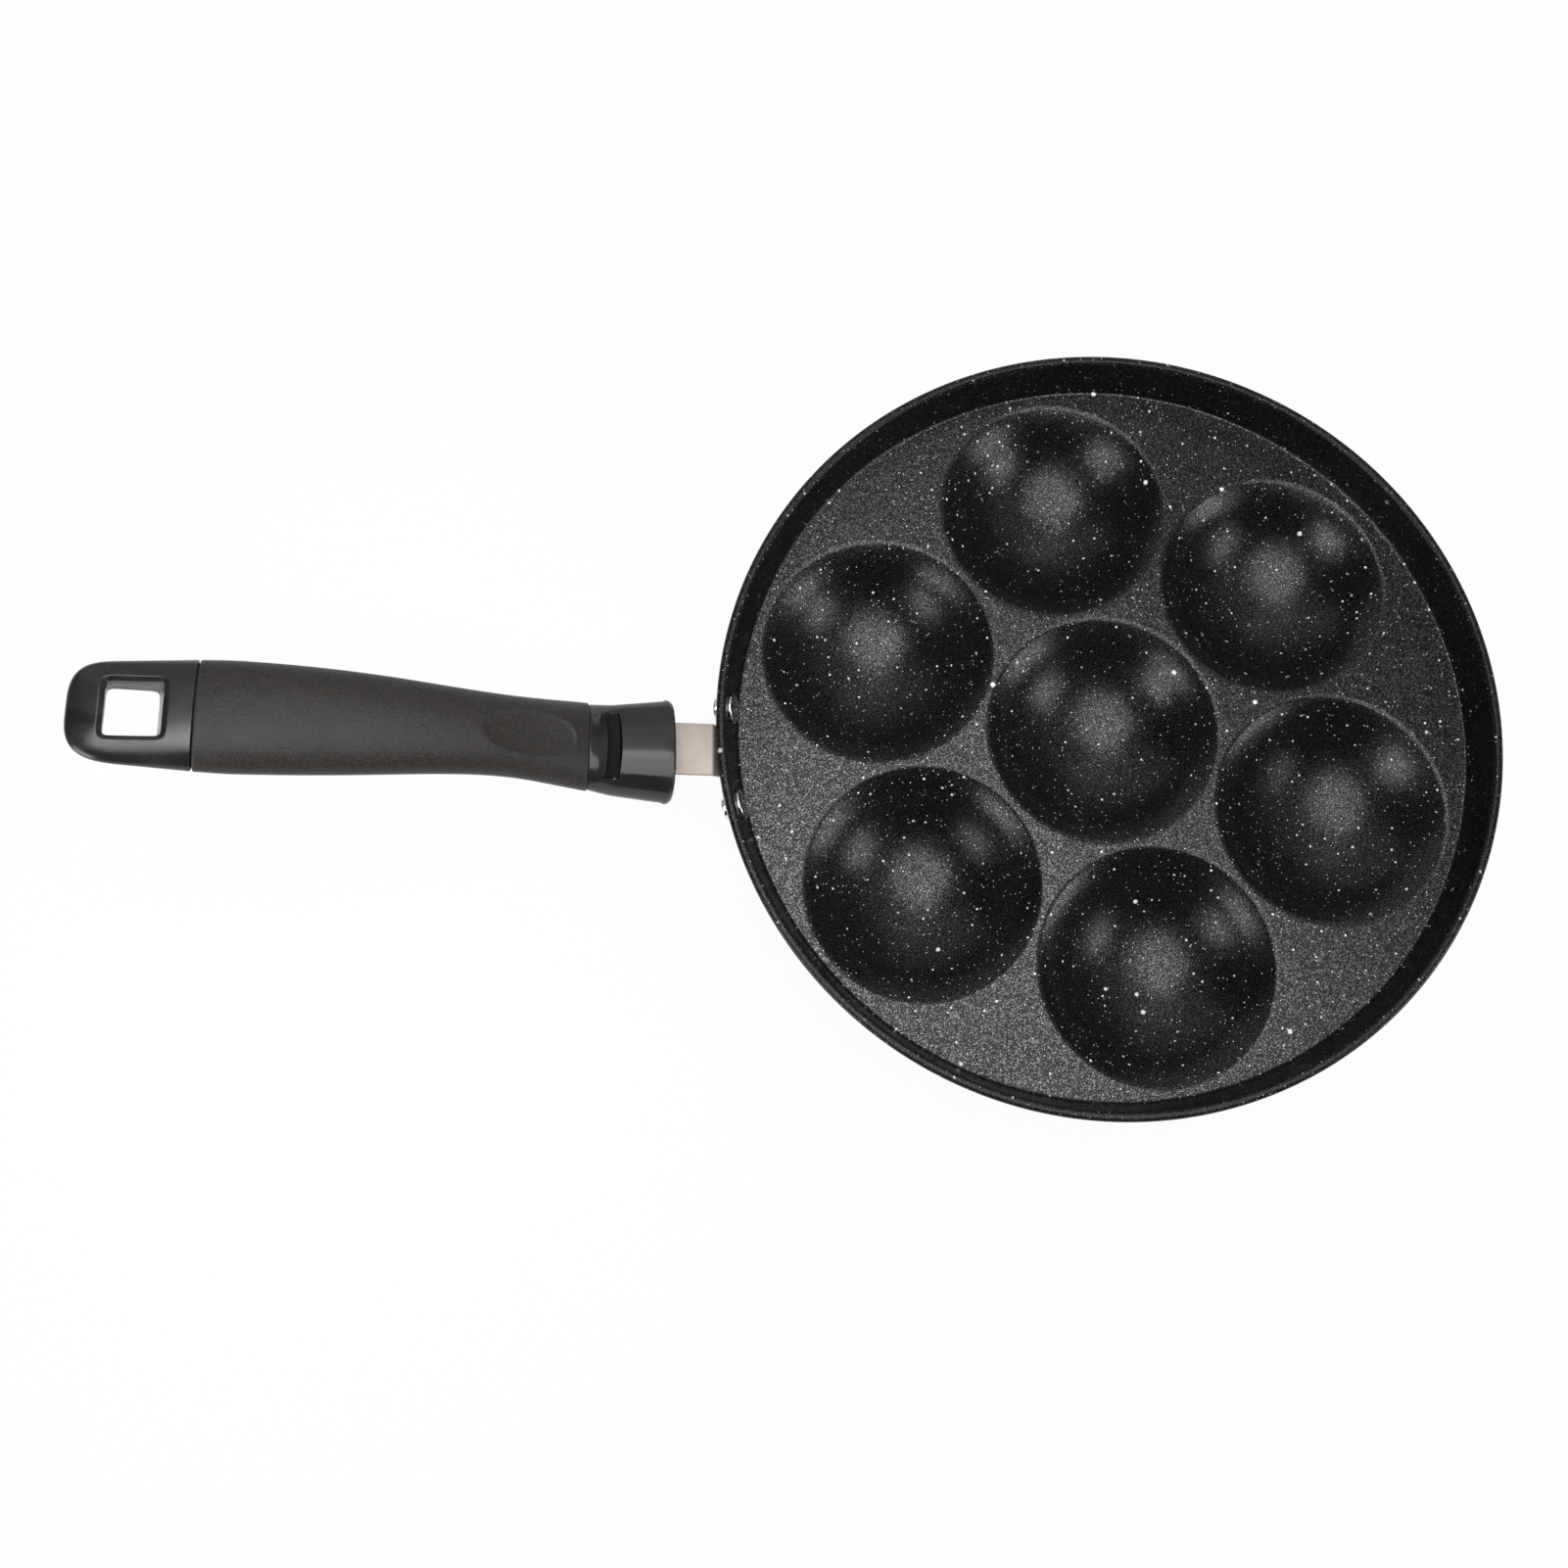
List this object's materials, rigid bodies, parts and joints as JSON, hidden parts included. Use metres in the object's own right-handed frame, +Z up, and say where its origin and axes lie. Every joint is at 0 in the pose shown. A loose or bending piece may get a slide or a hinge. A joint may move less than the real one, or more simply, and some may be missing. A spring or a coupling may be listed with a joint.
{
  "type": "omelette pan",
  "caption": "Shallow round frying pan whose floor is pressed into round egg wells, with a riveted steel bracket, a flared collar, a soft grip and an end cap with a square hanging hole.",
  "frame": {"origin": "on the pan's axis, at the flat pad under the centre well, on the plane that the pan stands on", "axes": "+Z up, the handle points along -X, +Y to the left of a cook who holds the handle"},
  "size_m": [0.4023, 0.2404, 0.1012],
  "materials": {
    "pan_coating": "satin black non-stick coating with fine white specks on aluminium",
    "strap_steel": "satin",
    "rivet_metal": "polished",
    "gloss_black": "gloss",
    "screw_steel": "satin",
    "core_plastic": "matte",
    "soft_grip": "matte soft-touch"
  },
  "bodies": {
    "root": {"pan_body": "pan_coating", "handle_bracket": "strap_steel", "left_rivet": "rivet_metal", "right_rivet": "rivet_metal", "ferrule": "gloss_black", "tang_screw": "screw_steel", "lock_washer": "screw_steel", "handle_core": "core_plastic", "grip_sleeve": "soft_grip", "end_cap": "gloss_black"}
  },
  "joints": []
}
